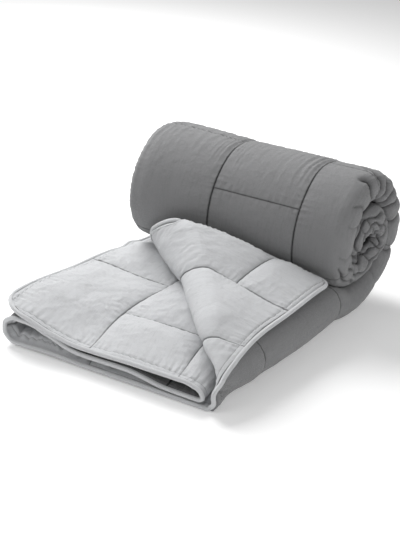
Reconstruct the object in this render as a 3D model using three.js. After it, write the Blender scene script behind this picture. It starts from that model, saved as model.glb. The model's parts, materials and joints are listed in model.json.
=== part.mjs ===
// Quilted duvet, dark on one face and light on the other, folded in four across its width
// and rolled up from its far end. The near end lies flat, with its top corner turned back.
import * as THREE from 'three'

// The cloth, in millimetres: u runs along its length from the near end, v across its width
const clothWidth = 2000
const cornerRadius = 60
const channelWidth = 200
const crossSeamStep = 300
const takeUp = 0.965

// Half the thickness in a seam, and the shares of the full thickness that are left in places
const seamHalf = 2.2
const crownRise = 1.15
const nearFullness = 0.6
const nearBand = 120
const foldFullness = 0.8
const creaseFlat = 220

// The piping round the rim, which stands off a little more where the corner folds back
const pipingRadius = 3.8
const pipingShare = 0.24
const pipingGap = 0.6
const pipingSides = 6
const foldRoom = 3
const foldRoomReach = 60

// The stack of four layers, from the floor up: the third, second, first and fourth quarter
const tailPitch = 24.5
const rollPitch = 17.9
const pressFrom = 395
const pressLength = 100
const layerGap = 1.4

// The flat tail and the roll that stands on it, which is a little fuller at its left end
const tailLength = 522
const tailRight = -45
const tailSkew = 0.2
const rightDraw = 10
const rightDrawLength = 250
const axisHeight = 180
const turnStep = 73
const rollTurns = 1.9
const coreRadius = 6
const rollFrontRadius = 118
const rollSwell = 3
const leftSwell = 7
const leftSwellFrom = 200
const leftSwellLength = 250
const floorPress = 3
const floorPressDepth = 8
const leftLift = 14
const leftLiftWidth = 150
const leftLiftEnd = 480

// The turned-back corner of the top layer, on the plan, and the loop of its fold
const topFrom = 1500
const creaseStart = 1560
const creaseLength = 440
const creaseBow = 22
const creaseBowWidth = 150
const creaseSpread = 25
const creaseReach = 330
const creaseWay = { x: 0.78, y: 0.62 }
const loopRadiusNear = 6
const loopRadiusFar = 40
const loopGrowth = 0.8
const loopOpening = 0.2
const loopEnd = 1.12
const loopFade = 120
const flapCorner = { x: 14, y: 442 }
const flapNear = { x: -58, y: 4 }
const flapFar = { x: -364, y: 422 }
const flapNearHeight = 60
const flapNearRise = 45
const flapRest = 122
const flapRestFrom = 200
const flapLiftWidth = 190
const flapSettle = 0.9
const rollClearance = 19
const rollSoftness = 40

const smooth = t => {
  const c = Math.min(1, Math.max(0, t))
  return c * c * (3 - 2 * c)
}
const mix = (a, b, t) => a + (b - a) * t

// Where the folds lie on the width: straight quarters with a bend after each of the first three
const bends = [
  { from: 482, to: 518, steps: 4 },
  { from: 982, to: 1018, steps: 4 },
  { from: 1480, to: 1600, steps: 6 },
]

// The outer fold's place along the roll, a row for each quarter turn
const rollRight = [50, 68, 62, 44, 38, 36, 34, 32, 30]

// The near edge as it lies, a row for each place where it bends: place on the width, x and height
const nearEdge = [
  { v: 0, x: -540, z: 92 }, { v: 60, x: -478, z: 78 }, { v: 120, x: -416, z: 56 },
  { v: 200, x: -332, z: 46 }, { v: 300, x: -229, z: 49 }, { v: 400, x: -128, z: 50 },
  { v: 482, x: -92, z: 38 }, { v: 491, x: -84, z: 32 }, { v: 500, x: -81, z: 25.5 },
  { v: 509, x: -84, z: 21 }, { v: 518, x: -92, z: 18 }, { v: 600, x: -160, z: 19 },
  { v: 700, x: -250, z: 31 }, { v: 800, x: -340, z: 30 }, { v: 900, x: -428, z: 50 },
  { v: 982, x: -500, z: 62 }, { v: 991, x: -518, z: 56 }, { v: 1000, x: -528, z: 36 },
  { v: 1009, x: -520, z: 15 }, { v: 1018, x: -503, z: 7 }, { v: 1100, x: -428, z: 10 },
  { v: 1200, x: -332, z: 7 }, { v: 1300, x: -236, z: 7 }, { v: 1400, x: -140, z: 6 },
  { v: 1480, x: -76, z: 5 }, { v: 1500, x: -64, z: 10 }, { v: 1525, x: -57, z: 30 },
  { v: 1560, x: -58, z: 54 }, { v: 1580, x: -68, z: 63 }, { v: 1600, x: -86, z: 66 },
  { v: 2000, x: -472, z: 70 },
]

function nearEdgeAt(v) {
  let i = 0
  while (i < nearEdge.length - 2 && v > nearEdge[i + 1].v) i += 1
  const a = nearEdge[i]
  const b = nearEdge[i + 1]
  const t = (v - a.v) / (b.v - a.v)
  return { x: mix(a.x, b.x, t), h: mix(a.z, b.z, t) }
}

// The regular section of the fold: x across, h up from the lowest face, for a layer pitch
function foldedAt(v, pitch, centre, ease) {
  const run = (bends[1].from - bends[0].to) * ease
  const left = centre - run
  const turn = (bend, radius, x, h, start, way) => {
    const a = start + way * Math.PI * (v - bend.from) / (bend.to - bend.from)
    return { x: x + radius * Math.cos(a), h: h + radius * Math.sin(a) }
  }
  if (v < bends[0].from) return { x: centre - (bends[0].from - v) * ease, h: 2.5 * pitch }
  if (v < bends[0].to) return turn(bends[0], pitch / 2, centre, 2 * pitch, Math.PI / 2, -1)
  if (v < bends[1].from) return { x: centre - (v - bends[0].to) * ease, h: 1.5 * pitch }
  if (v < bends[1].to) return turn(bends[1], pitch / 2, left, pitch, Math.PI / 2, 1)
  if (v < bends[2].from) return { x: left + (v - bends[1].to) * ease, h: 0.5 * pitch }
  if (v < bends[2].to) return turn(bends[2], 1.5 * pitch, centre, 2 * pitch, -Math.PI / 2, 1)
  return { x: centre - (v - bends[2].to) * ease, h: 3.5 * pitch }
}

// The roll: radius of its outer face, of its inner face, and the angle for a length u
const tailCloth = tailLength / takeUp
const turnAngle = 2 * Math.PI
const outerRadius = a => axisHeight - turnStep * a / turnAngle
function innerRadius(a) {
  const free = outerRadius(a) - 4 * rollPitch
  return 0.5 * (free + Math.hypot(free, 2 * coreRadius))
}
const angleAt = u => {
  const b = turnStep / (2 * turnAngle)
  return (axisHeight - Math.sqrt(axisHeight * axisHeight - 4 * b * (u - tailCloth))) / (2 * b)
}
const lengthAt = a => tailCloth + axisHeight * a - turnStep * a * a / (2 * turnAngle)
const clothLength = lengthAt(rollTurns * turnAngle)
function rightAt(a) {
  const quarter = Math.min(rollRight.length - 1.001, a / (Math.PI / 2))
  const i = Math.floor(quarter)
  return mix(rollRight[i], rollRight[i + 1], smooth(quarter - i))
}

// The front face of the roll at a height, which the turned-back corner leans on
function rollFrontAt(z) {
  const drop = axisHeight - z
  const angle = turnAngle - Math.acos(Math.min(1, Math.max(-1, drop / rollFrontRadius)))
  const radius = outerRadius(angle)
  return tailLength - Math.sqrt(Math.max(0, radius * radius - drop * drop))
}

function pitchOnTail(y) {
  return mix(tailPitch, rollPitch, smooth((y - pressFrom) / pressLength))
}

function layOnTail(u, v) {
  const y = u * takeUp
  const pitch = pitchOnTail(y)
  const drawn = rightDraw * smooth((y - rightDrawLength) / rightDrawLength)
  const right = tailRight + tailSkew * y - drawn
  const regular = foldedAt(v, pitch, right - 2 * pitch, takeUp)
  const fromLeft = v < bends[0].from ? v : bends[0].from + bends[2].to - v
  const free = v < bends[0].from || v > bends[2].to
  const lift = smooth(1 - fromLeft / leftLiftWidth) * smooth((leftLiftEnd - y) / leftLiftWidth)
  if (free) regular.h += leftLift * lift
  const near = nearEdgeAt(v)
  const t = smooth(y / nearBand)
  return new THREE.Vector3(mix(near.x, regular.x, t), y, mix(near.h, regular.h, t))
}

// The turned-back corner: the top layer runs to the crease, loops over and lies back on itself
function layTopLayer(u, v) {
  const under = layOnTail(u, v)
  const across = (u - (v - creaseStart)) / Math.SQRT2
  const along = (u + v - creaseStart) / (2 * creaseLength)
  const s = Math.min(1.1, Math.max(0, along))
  const closing = smooth((loopEnd - s) / (loopEnd - 1))
  const radius = mix(loopRadiusNear, loopRadiusFar, s ** loopGrowth) * closing
  const half = Math.PI / 2 * radius
  if (across > half + creaseReach) return under
  const open = smooth(s / loopOpening)
  const turn = Math.min(1, Math.max(-1, across / (half + creaseSpread * (1 - open))))
  const lower = 0.5 * (1 + Math.sin(Math.PI / 2 * turn))
  const back = (clothWidth - v) / creaseLength
  const side = u / creaseLength
  const over = new THREE.Vector3(
    flapCorner.x + (flapNear.x - flapCorner.x) * back + (flapFar.x - flapCorner.x) * side,
    flapCorner.y + (flapNear.y - flapCorner.y) * back + (flapFar.y - flapCorner.y) * side,
    0)
  const lift = (2 * radius - flapSettle * tailPitch) * Math.exp(-((across / flapLiftWidth) ** 2))
  const rest = mix(4.5 * tailPitch, flapNearHeight, Math.exp(-over.y / flapNearRise))
  over.z = mix(rest, flapRest, smooth((over.y - flapRestFrom) / flapRestFrom)) + lift
  const limit = rollFrontAt(over.z) - 0.5 * rollClearance
  over.y = limit - rollSoftness * Math.log(1 + Math.exp((limit - over.y) / rollSoftness))
  const bow = creaseBow * Math.sin(Math.PI * Math.min(1, s)) * Math.exp(-((across / creaseBowWidth) ** 2))
  const free = Math.abs(across) - half
  const loop = free > 0
    ? Math.abs(across) - half * Math.exp(-((free / loopFade) ** 2))
    : -radius * Math.cos(across / radius)
  const spread = bow + open * (loop - across * (2 * lower - 1))
  const point = new THREE.Vector3().lerpVectors(over, under, lower)
  point.x += creaseWay.x * spread
  point.y += creaseWay.y * spread
  point.z = mix(over.z, layOnTail(point.y / takeUp, v).z, lower)
  point.y -= (1 - lower) * Math.max(0, point.y - rollFrontAt(point.z) + rollClearance)
  return point
}

function layOnRoll(u, v) {
  const a = angleAt(u)
  const inner = innerRadius(a)
  const pitch = (outerRadius(a) - inner) / 4
  const wide = mix(pitch, rollPitch, 0.5)
  const flat = foldedAt(v, wide, rightAt(a) - 2 * rollPitch, 1)
  const swell = rollSwell + leftSwell * smooth((-flat.x - leftSwellFrom) / leftSwellLength)
  const radius = outerRadius(a) - flat.h * pitch / wide + swell * Math.sin(a / 2) ** 2
  return new THREE.Vector3(
    flat.x, tailLength + radius * Math.sin(a), axisHeight - radius * Math.cos(a))
}

function layCloth(u, v) {
  if (u > tailCloth) return layOnRoll(u, v)
  if (v > topFrom) return layTopLayer(u, v)
  return layOnTail(u, v)
}

function layerPitchAt(u) {
  if (u <= tailCloth) return pitchOnTail(u * takeUp)
  const a = angleAt(u)
  return (outerRadius(a) - innerRadius(a)) / 4
}

// Half the thickness of the quilting: thin along each seam, full in the middle of each cell
function quiltHalf(u, v) {
  const channel = Math.min(9, Math.max(0, Math.floor(v / channelWidth)))
  const shift = channel % 2 === 0 ? 0 : crossSeamStep / 2
  const cell = Math.floor((u - shift) / crossSeamStep)
  const start = Math.max(0, shift + cell * crossSeamStep)
  const end = Math.min(clothLength, shift + (cell + 1) * crossSeamStep)
  const along = Math.min(1, Math.max(0, (u - start) / (end - start)))
  const across = Math.min(1, Math.max(0, v / channelWidth - channel))
  const crown = Math.sqrt(Math.sin(Math.PI * along) * Math.sin(Math.PI * across) + 1e-9)
  const full = (layerPitchAt(u) - layerGap) / 2
  const seam = Math.min(seamHalf, 0.5 * full)
  const near = mix(nearFullness, 1, smooth(u / nearBand))
  const tight = bends.slice(0, 2).some(bend => v >= bend.from && v <= bend.to) ? foldFullness : 1
  const atCrease = v > bends[2].from ? smooth(Math.hypot(u, v - creaseStart) / creaseFlat) : 1
  return tight * mix(seam, full * near, Math.min(1, crownRise * crown) * atCrease)
}

// Rows along the length, a step of turn apart in the roll's middle, and columns across the width
const evenLength = 1440
const rowTurn = 0.5
const rows = []
for (let u = 0; u < evenLength; u += crossSeamStep / 6) rows.push(u)
for (let a = angleAt(rows.at(-1)) + rowTurn; a < (rollTurns - 0.03) * turnAngle; a += rowTurn) {
  rows.push(lengthAt(a))
}
rows.push(clothLength)
const cornerColumns = [5, 22]
const columns = []
for (let v = 0; v <= clothWidth; v += channelWidth / 4) {
  if (!bends.some(bend => v >= bend.from && v <= bend.to)) columns.push(v)
}
bends.forEach(bend => {
  for (let i = 0; i <= bend.steps; i += 1) columns.push(mix(bend.from, bend.to, i / bend.steps))
})
for (const v of cornerColumns) columns.push(v, clothWidth - v)
columns.sort((a, b) => a - b)

// Rounded corners: how far the near end draws in at a place on the width
function cornerInset(v) {
  const near = Math.min(v, clothWidth - v)
  if (near >= cornerRadius) return 0
  return cornerRadius - Math.sqrt(cornerRadius ** 2 - (cornerRadius - near) ** 2)
}
function insetLength(u, v) {
  return u < crossSeamStep / 2 ? mix(cornerInset(v), crossSeamStep / 2, 2 * u / crossSeamStep) : u
}

// The lowest layer is pressed flat where it lies on the floor, under the roll too
function pressOnFloor(point, u, v) {
  const lowest = v > bends[1].from && v < bends[2].to && u < tailCloth + nearBand
  if (lowest) point.z = Math.max(0, point.z - floorPress * smooth(1 - point.z / floorPressDepth))
}

// The middle of the cloth as a grid, whose normals point to the light side
function middleGrid() {
  const points = []
  const faces = []
  const across = columns.length
  for (const row of rows) {
    for (const v of columns) points.push(...layCloth(insetLength(row, v), v))
  }
  for (let i = 0; i < rows.length - 1; i += 1) {
    for (let j = 0; j < across - 1; j += 1) {
      const k = i * across + j
      faces.push(k, k + 1, k + across + 1, k, k + across + 1, k + across)
    }
  }
  const grid = new THREE.BufferGeometry()
  grid.setAttribute('position', new THREE.Float32BufferAttribute(points, 3))
  grid.setIndex(faces)
  grid.computeVertexNormals()
  return grid
}

// One filled body: the light face, the dark face and the thin rim that the piping covers
function quiltGeometry(grid) {
  const points = []
  const faces = []
  const across = columns.length
  for (const side of [1, -1]) {
    rows.forEach((row, i) => columns.forEach((v, j) => {
      const u = insetLength(row, v)
      const k = i * across + j
      const normal = new THREE.Vector3().fromBufferAttribute(grid.getAttribute('normal'), k)
      const point = new THREE.Vector3().fromBufferAttribute(grid.getAttribute('position'), k)
      point.addScaledVector(normal, side * quiltHalf(u, v))
      pressOnFloor(point, u, v)
      points.push(...point)
    }))
  }
  const index = (side, i, j) => side * rows.length * across + i * across + j
  const quad = (a, b, c, d) => faces.push(a, b, d, b, c, d)
  for (let i = 0; i < rows.length - 1; i += 1) {
    for (let j = 0; j < across - 1; j += 1) {
      quad(index(0, i, j + 1), index(0, i + 1, j + 1), index(0, i + 1, j), index(0, i, j))
      faces.push(
        index(1, i, j), index(1, i + 1, j), index(1, i + 1, j + 1),
        index(1, i, j), index(1, i + 1, j + 1), index(1, i, j + 1))
    }
  }
  const rim = (i0, j0, i1, j1) => quad(index(0, i0, j0), index(1, i0, j0), index(1, i1, j1), index(0, i1, j1))
  const last = rows.length - 1
  for (let j = 0; j < across - 1; j += 1) {
    rim(0, j, 0, j + 1)
    rim(last, j + 1, last, j)
  }
  for (let i = 0; i < last; i += 1) {
    rim(i + 1, 0, i, 0)
    rim(i, across - 1, i + 1, across - 1)
  }
  const geometry = new THREE.BufferGeometry()
  geometry.setAttribute('position', new THREE.Float32BufferAttribute(points, 3))
  geometry.setIndex(faces)
  return geometry
}

// The outward side of one stretch of the rim, on the flat cloth
function edgeNormal(from, to) {
  return new THREE.Vector2(from.v - to.v, to.u - from.u).normalize()
}

// The piping: a cord in a folded strip, sewn all the way round the rim
function pipingGeometry(grid) {
  const end = rows.length - 1
  const across = columns.length - 1
  const path = []
  for (let j = 0; j < across; j += 1) path.push([0, j])
  for (let i = 0; i < end; i += 1) path.push([i, across])
  for (let j = across; j > 0; j -= 1) path.push([end, j])
  for (let i = end; i > 0; i -= 1) path.push([i, 0])
  const normals = grid.getAttribute('normal')
  const cloth = path.map(([i, j]) => (
    { u: insetLength(rows[i], columns[j]), v: columns[j], k: i * columns.length + j }))
  const points = []
  const faces = []
  const count = cloth.length
  cloth.forEach((at, k) => {
    const before = edgeNormal(cloth[(k + count - 1) % count], at)
    const after = edgeNormal(at, cloth[(k + 1) % count])
    const outward = before.clone().add(after).normalize()
    const mitre = 1 / outward.dot(after)
    const radius = Math.min(pipingRadius, pipingShare * layerPitchAt(at.u))
    const toFold = Math.hypot(at.u, at.v - creaseStart)
    const away = (radius + pipingGap) * mitre + foldRoom * (1 - smooth(toFold / foldRoomReach))
    const rim = layCloth(at.u, at.v)
    const next = cloth[(k + 1) % count]
    const last = cloth[(k + count - 1) % count]
    const way = layCloth(next.u, next.v).sub(layCloth(last.u, last.v)).normalize()
    const normal = new THREE.Vector3().fromBufferAttribute(normals, at.k)
    const out = way.clone().cross(normal).normalize()
    const up = out.clone().cross(way)
    for (let n = 0; n < pipingSides; n += 1) {
      const a = turnAngle * (n + 0.5) / pipingSides
      const point = rim.clone().addScaledVector(out, away + radius * Math.cos(a))
      point.addScaledVector(up, radius * Math.sin(a))
      point.z = Math.max(0, point.z)
      points.push(...point)
      const m = (n + 1) % pipingSides
      const here = k * pipingSides
      const there = ((k + 1) % count) * pipingSides
      faces.push(here + n, there + n, there + m, here + n, there + m, here + m)
    }
  })
  const geometry = new THREE.BufferGeometry()
  geometry.setAttribute('position', new THREE.Float32BufferAttribute(points, 3))
  geometry.setIndex(faces)
  return geometry
}

const duvet = new THREE.Group()
const grid = middleGrid()
const dark = new THREE.MeshStandardMaterial({ color: 0x6b6d70, roughness: 0.9, metalness: 0 })
const light = new THREE.MeshStandardMaterial({ color: 0xc9cbce, roughness: 0.9, metalness: 0 })

const quilt = new THREE.Mesh(quiltGeometry(grid), dark)
quilt.name = 'quilt'
const piping = new THREE.Mesh(pipingGeometry(grid), light)
piping.name = 'piping'
duvet.add(quilt, piping)

// The part stands on the floor with its origin under the middle of its outline
const box = new THREE.Box3().setFromObject(duvet)
const middle = box.getCenter(new THREE.Vector3())
duvet.position.set(-middle.x, -middle.y, -box.min.z)

export default duvet
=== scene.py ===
# Quilted duvet, folded in four across its width and rolled up from its far end.
# The cloth is laid out once, as a mapping from the flat quilt to where it lies, and every piece follows it.
import json
import math
import bpy
import numpy as np
from mathutils import Matrix, Vector

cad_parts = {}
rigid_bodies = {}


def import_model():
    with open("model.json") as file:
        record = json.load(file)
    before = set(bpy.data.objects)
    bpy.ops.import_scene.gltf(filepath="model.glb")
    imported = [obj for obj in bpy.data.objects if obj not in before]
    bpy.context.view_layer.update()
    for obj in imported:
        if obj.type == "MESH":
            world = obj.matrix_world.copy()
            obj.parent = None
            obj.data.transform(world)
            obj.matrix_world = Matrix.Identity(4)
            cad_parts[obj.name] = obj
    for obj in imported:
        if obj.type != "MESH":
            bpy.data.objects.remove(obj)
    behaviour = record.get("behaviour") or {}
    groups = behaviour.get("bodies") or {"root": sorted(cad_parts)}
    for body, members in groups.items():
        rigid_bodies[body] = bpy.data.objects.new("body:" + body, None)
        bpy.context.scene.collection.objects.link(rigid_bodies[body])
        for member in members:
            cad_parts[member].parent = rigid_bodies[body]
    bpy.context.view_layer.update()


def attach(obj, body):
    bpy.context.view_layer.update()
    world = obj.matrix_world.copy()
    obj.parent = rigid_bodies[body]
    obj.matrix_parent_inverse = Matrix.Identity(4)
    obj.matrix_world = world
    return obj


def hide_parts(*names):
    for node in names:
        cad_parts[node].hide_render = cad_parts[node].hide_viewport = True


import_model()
print("frame loaded")


# The flat cloth and the way it lies

cloth = {
    "width": 2.0,  # across the channels, and folded in four
    "channel": 0.2,  # one sewn channel
    "crossSeam": 0.3,  # between the seams across a channel, half a step later in every second one
    "corner": 0.06,  # radius of the two near corners
    "takeUp": 0.965,  # the filling shortens the flat part a little
}

stack = {
    "tailPitch": 0.0245,  # from layer to layer on the flat part
    "rollPitch": 0.0179,  # and in the roll, where they are pressed together
    "pressFrom": 0.432,
    "pressLength": 0.062,
    "gap": 0.0014,
    "foldRight": (0.482, 0.518),  # where the three folds begin and end on the width
    "foldLeft": (0.982, 1.018),
    "foldOuter": (1.48, 1.6),
}

tail = {
    "length": 0.522,
    "easeFrom": 0.3,  # from here on the folded width grows to that of the roll
    "right": -0.045,  # where the right side starts
    "skew": 0.2,  # and how much it leans outwards
    "draw": 0.01,  # drawn in again towards the roll
    "drawLength": 0.25,
    "leftLift": 0.012,  # the open left edge stands higher
    "liftWidth": 0.15,
    "liftEnd": 0.42,
    "liftFade": 0.13,
    "sink": 0.5,  # and sinks a little in front of the roll
    "sinkAt": 0.415,
    "sinkWidth": 0.035,
    "heel": 0.65,  # and rises again beside it
    "heelFrom": 0.46,
    "heelRise": 0.03,
    "heelFall": 0.015,
    "nearBand": 0.12,  # the near edge's own line fades out over this length
    "upperBand": 0.24,  # the two upper layers take longer to leave the near edge's line
    "press": 0.003,  # how far the lowest layer is pressed on the floor
    "pressDepth": 0.008,
}

roll = {
    "axisHeight": 0.18,
    "turnStep": 0.073,  # how much closer to the axis the cloth is after one turn
    "turns": 1.9,
    "core": 0.006,
    "frontRadius": 0.118,
    "swell": 0.003,  # the roll is a little fuller at its top, and more so at its left end
    "leftSwell": 0.007,
    "leftSwellFrom": 0.2,
    "leftSwellLength": 0.25,
    "right": [  # the outer fold's place on the way round: angle and x
        (0.0, 0.0494), (0.5, 0.06), (1.0, 0.07), (1.57, 0.073), (2.2, 0.064), (2.9, 0.05),
        (3.6, 0.04), (4.71, 0.037), (5.6, 0.038), (6.28, 0.045), (7.0, 0.06), (7.85, 0.071),
        (8.8, 0.067), (9.42, 0.06), (10.2, 0.052), (11.0, 0.048), (12.0, 0.046),
    ],
}

corner = {  # the corner that is turned back
    "start": 1.56,  # the crease starts here on the near edge
    "length": 0.44,
    "bow": 0.022,
    "bowWidth": 0.15,
    "spread": 0.025,
    "reach": 0.33,
    "way": (0.78, 0.62),
    "loopNear": 0.006,
    "loopFar": 0.03,
    "loopGrowth": 0.8,
    "loopOpening": 0.2,
    "loopEnd": 1.12,
    "loopFade": 0.12,
    "tip": (0.014, 0.442),
    "near": (-0.058, 0.004),
    "far": (-0.342, 0.424),
    "nearHeight": 0.06,
    "nearRise": 0.045,
    "rest": 0.122,
    "restFrom": 0.2,
    "liftWidth": 0.19,
    "settle": 0.9,
    "clearance": 0.019,
    "softness": 0.04,
    "rise": 0.033,  # of its upper edge, which leans on the roll
    "riseWidth": 0.16,
    "riseLength": 0.32,
}

# The near edge as it lies: place on the width, x and height
nearEdge = [
    (0.0, -0.54, 0.082), (0.06, -0.478, 0.072), (0.12, -0.416, 0.054), (0.2, -0.332, 0.045),
    (0.3, -0.229, 0.048), (0.4, -0.137, 0.048), (0.46, -0.1, 0.043),
    (0.482, -0.089, 0.038), (0.491, -0.084, 0.032),
    (0.5, -0.081, 0.0255), (0.509, -0.084, 0.021), (0.518, -0.092, 0.018), (0.6, -0.16, 0.019),
    (0.7, -0.25, 0.031), (0.8, -0.34, 0.03), (0.9, -0.428, 0.05), (0.982, -0.5, 0.062),
    (0.991, -0.518, 0.056), (1.0, -0.528, 0.036), (1.009, -0.52, 0.015), (1.018, -0.503, 0.007),
    (1.1, -0.428, 0.01), (1.2, -0.332, 0.007), (1.3, -0.236, 0.007), (1.4, -0.14, 0.006),
    (1.48, -0.076, 0.005), (1.5, -0.064, 0.01), (1.525, -0.057, 0.03), (1.56, -0.058, 0.054),
    (1.58, -0.068, 0.063), (1.6, -0.086, 0.066), (2.0, -0.472, 0.07),
]

place = np.array([0.24246, -0.33638, 0.0])  # from the layout's corner to the middle of the part


def smooth(t):
    c = np.clip(t, 0, 1)
    return c * c * (3 - 2 * c)


def mix(a, b, t):
    return a + (b - a) * t


def through(table, column, at):  # a smooth curve through the table's places
    places = np.array([row[0] for row in table])
    values = np.array([row[column] for row in table])
    step = np.diff(places)
    rise = np.diff(values) / step
    level = rise[:-1] * rise[1:] <= 0  # no overshoot where the curve turns back
    middle = 2 * rise[:-1] * rise[1:] / np.where(level, 1, rise[:-1] + rise[1:])
    slope = np.concatenate([[rise[0]], np.where(level, 0, middle), [rise[-1]]])
    i = np.clip(np.searchsorted(places, at, side="right") - 1, 0, len(step) - 1)
    t = (at - places[i]) / step[i]
    a = values[i] + slope[i] * step[i] * t
    b = values[i + 1] - slope[i + 1] * step[i] * (1 - t)
    return mix(a, b, smooth(t))


def foldedAt(v, pitch, centre, ease):  # the section of the four layers: x across, h from the lowest face
    (right0, right1), (left0, left1), (outer0, outer1) = (
        stack["foldRight"], stack["foldLeft"], stack["foldOuter"])
    left = centre - (left0 - right1) * ease

    def turn(start, end, radius, x, h, angle, way):
        a = angle + way * np.pi * (v - start) / (end - start)
        return x + radius * np.cos(a), h + radius * np.sin(a)

    parts = [
        (v < right0, (centre - (right0 - v) * ease, 2.5 * pitch)),
        (v < right1, turn(right0, right1, pitch / 2, centre, 2 * pitch, np.pi / 2, -1)),
        (v < left0, (centre - (v - right1) * ease, 1.5 * pitch)),
        (v < left1, turn(left0, left1, pitch / 2, left, pitch, np.pi / 2, 1)),
        (v < outer0, (left + (v - left1) * ease, 0.5 * pitch)),
        (v < outer1, turn(outer0, outer1, 1.5 * pitch, centre, 2 * pitch, -np.pi / 2, 1)),
        (v >= outer1, (centre - (v - outer1) * ease, 3.5 * pitch)),
    ]
    zero = np.zeros_like(v + pitch)
    x = np.select([p[0] for p in parts], [p[1][0] + zero for p in parts])
    h = np.select([p[0] for p in parts], [p[1][1] + zero for p in parts])
    return x, h


tailCloth = tail["length"] / cloth["takeUp"]
fullTurn = 2 * math.pi


def outerRadius(a):
    return roll["axisHeight"] - roll["turnStep"] * a / fullTurn


def innerRadius(a):
    free = outerRadius(a) - 4 * stack["rollPitch"]
    return 0.5 * (free + np.hypot(free, 2 * roll["core"]))


def angleAt(u):
    b = roll["turnStep"] / (2 * fullTurn)
    free = roll["axisHeight"] ** 2 - 4 * b * (u - tailCloth)
    return (roll["axisHeight"] - np.sqrt(np.maximum(0, free))) / (2 * b)


def lengthAt(a):
    return tailCloth + roll["axisHeight"] * a - roll["turnStep"] * a * a / (2 * fullTurn)


clothLength = lengthAt(roll["turns"] * fullTurn)


def rightAt(a):
    return through(roll["right"], 1, a)


def rollFrontAt(z):
    drop = roll["axisHeight"] - z
    angle = fullTurn - np.arccos(np.clip(drop / roll["frontRadius"], -1, 1))
    radius = outerRadius(angle)
    return tail["length"] - np.sqrt(np.maximum(0, radius ** 2 - drop ** 2))


def pitchOnTail(y):
    pressed = smooth((y - stack["pressFrom"]) / stack["pressLength"])
    return mix(stack["tailPitch"], stack["rollPitch"], pressed)


def layOnTail(u, v):
    y = u * cloth["takeUp"]
    pitch = pitchOnTail(y)
    ease = mix(cloth["takeUp"], 1, smooth((y - tail["easeFrom"]) / (tail["length"] - tail["easeFrom"])))
    drawn = tail["draw"] * smooth((y - tail["drawLength"]) / tail["drawLength"])
    right = tail["right"] + tail["skew"] * y - drawn
    x, h = foldedAt(v, pitch, right - 2 * pitch, ease)
    fromLeft = np.where(v < stack["foldRight"][0], v, stack["foldRight"][0] + stack["foldOuter"][1] - v)
    free = (v < stack["foldRight"][0]) | (v > stack["foldOuter"][1])
    sunk = tail["sink"] * np.exp(-(((y - tail["sinkAt"]) / tail["sinkWidth"]) ** 2))
    heel = smooth((y - tail["heelFrom"]) / tail["heelRise"]) * smooth((tail["length"] - y) / tail["heelFall"])
    sunk = sunk - tail["heel"] * heel
    raised = smooth((tail["liftEnd"] - y) / tail["liftFade"]) - sunk * (v < 1)
    lift = smooth(1 - fromLeft / tail["liftWidth"]) * raised
    h = h + np.where(free, tail["leftLift"] * lift, 0)
    t = smooth(y / mix(tail["upperBand"], tail["nearBand"], smooth((v - stack["foldLeft"][0]) / 0.3)))
    return np.stack([
        mix(through(nearEdge, 1, v), x, t), y + 0 * v, mix(through(nearEdge, 2, v), h, t)], -1)


def layTopLayer(u, v):
    under = layOnTail(u, v)
    across = (u - (v - corner["start"])) / math.sqrt(2)
    s = np.clip((u + v - corner["start"]) / (2 * corner["length"]), 0, 1.1)
    closing = smooth((corner["loopEnd"] - s) / (corner["loopEnd"] - 1))
    radius = mix(corner["loopNear"], corner["loopFar"], s ** corner["loopGrowth"]) * closing
    half = math.pi / 2 * radius
    opened = smooth(s / corner["loopOpening"])
    turn = np.clip(across / (half + corner["spread"] * (1 - opened)), -1, 1)
    lower = 0.5 * (1 + np.sin(math.pi / 2 * turn))
    back = (cloth["width"] - v) / corner["length"]
    side = u / corner["length"]
    tip, near, far = corner["tip"], corner["near"], corner["far"]
    overX = tip[0] + (near[0] - tip[0]) * back + (far[0] - tip[0]) * side
    overY = tip[1] + (near[1] - tip[1]) * back + (far[1] - tip[1]) * side
    lift = 2 * radius - corner["settle"] * stack["tailPitch"]
    lift = lift * np.exp(-((across / corner["liftWidth"]) ** 2))
    nearness = np.exp(-np.maximum(overY, -0.1) / corner["nearRise"])
    rest = mix(4.5 * stack["tailPitch"], corner["nearHeight"], nearness)
    overZ = mix(rest, corner["rest"], smooth((overY - corner["restFrom"]) / corner["restFrom"])) + lift
    nearRim = np.exp(-(((cloth["width"] - v) / corner["riseWidth"]) ** 2))
    overZ = overZ + corner["rise"] * smooth(u / corner["riseLength"]) * nearRim
    limit = rollFrontAt(overZ) - 0.5 * corner["clearance"]
    soft = corner["softness"]
    overY = limit - soft * np.log1p(np.exp(np.clip((limit - overY) / soft, -50, 50)))
    bow = corner["bow"] * np.sin(math.pi * np.minimum(1, s)) * np.exp(-((across / corner["bowWidth"]) ** 2))
    free = np.abs(across) - half
    loop = np.where(
        free > 0,
        np.abs(across) - half * np.exp(-((free / corner["loopFade"]) ** 2)),
        -radius * np.cos(across / np.maximum(radius, 1e-5)))
    spread = bow + opened * (loop - across * (2 * lower - 1))
    x = mix(overX, under[..., 0], lower) + corner["way"][0] * spread
    y = mix(overY, under[..., 1], lower) + corner["way"][1] * spread
    z = mix(overZ, layOnTail(y / cloth["takeUp"], v)[..., 2], lower)
    y = y - (1 - lower) * np.maximum(0, y - rollFrontAt(z) + corner["clearance"])
    point = np.stack([x, y, z], -1)
    away = (across > half + corner["reach"])[..., None]
    return np.where(away, under, point)


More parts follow.
